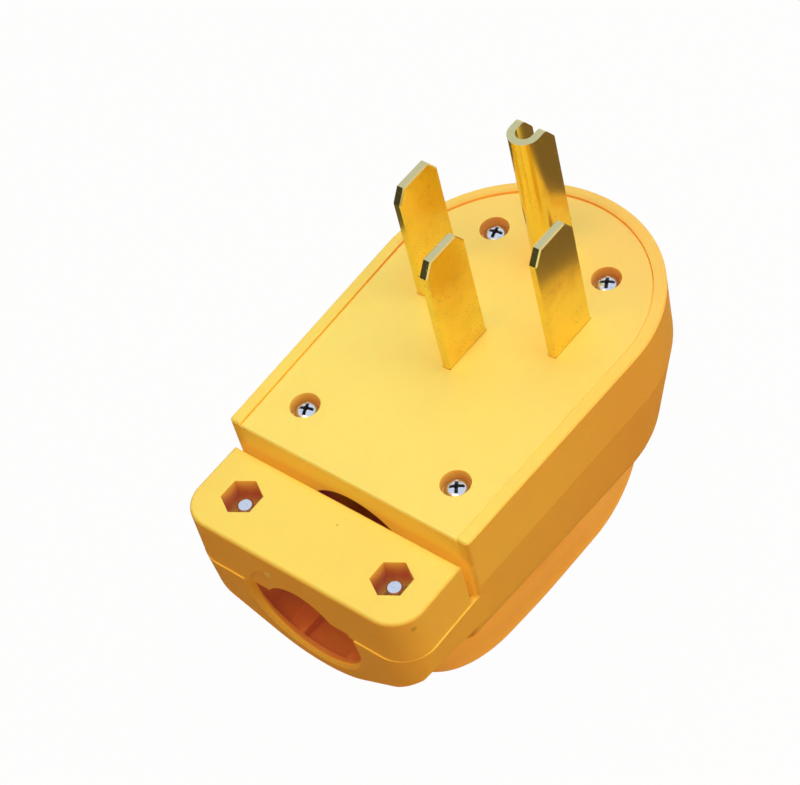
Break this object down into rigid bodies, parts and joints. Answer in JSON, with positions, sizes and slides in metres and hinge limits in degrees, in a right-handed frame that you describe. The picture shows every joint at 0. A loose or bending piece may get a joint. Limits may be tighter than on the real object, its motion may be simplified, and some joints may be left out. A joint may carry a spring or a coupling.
{
  "type": "rv power plug",
  "caption": "D-faced four-blade power plug with a two-bolt cord clamp at its flat end and a moulded grip handle behind.",
  "frame": {"origin": "on the outer surface of the face, midway between the two hot blades", "axes": "+Z out of the face along the blades, +Y towards the round end of the face and the ground pin, +X from the left to the right hot blade; the cord leaves towards -Y"},
  "size_m": [0.0666, 0.1118, 0.119],
  "materials": {
    "yellow_plastic": "satin moulded nylon",
    "plate_plastic": "satin moulded nylon, fine grain",
    "blade_brass": "stamped, lightly tarnished",
    "lug_brass": "sawn and drilled",
    "zinc_steel": "bright zinc plate"
  },
  "bodies": {
    "root": {"clamp_nut_left": "zinc_steel", "clamp_nut_right": "zinc_steel", "clamp_screw_left": "zinc_steel", "clamp_screw_right": "zinc_steel", "cord_clamp": "yellow_plastic", "face_plate": "plate_plastic", "face_screw_back_left": "zinc_steel", "face_screw_back_right": "zinc_steel", "face_screw_front_left": "zinc_steel", "face_screw_front_right": "zinc_steel", "ground_pin": "blade_brass", "hot_blade_left": "blade_brass", "hot_blade_right": "blade_brass", "lug_ground": "lug_brass", "lug_hot_left": "lug_brass", "lug_hot_right": "lug_brass", "lug_neutral": "lug_brass", "neutral_blade": "blade_brass", "rear_housing": "yellow_plastic", "terminal_screw_ground": "zinc_steel", "terminal_screw_hot_left": "zinc_steel", "terminal_screw_hot_right": "zinc_steel", "terminal_screw_neutral": "zinc_steel"}
  },
  "joints": []
}
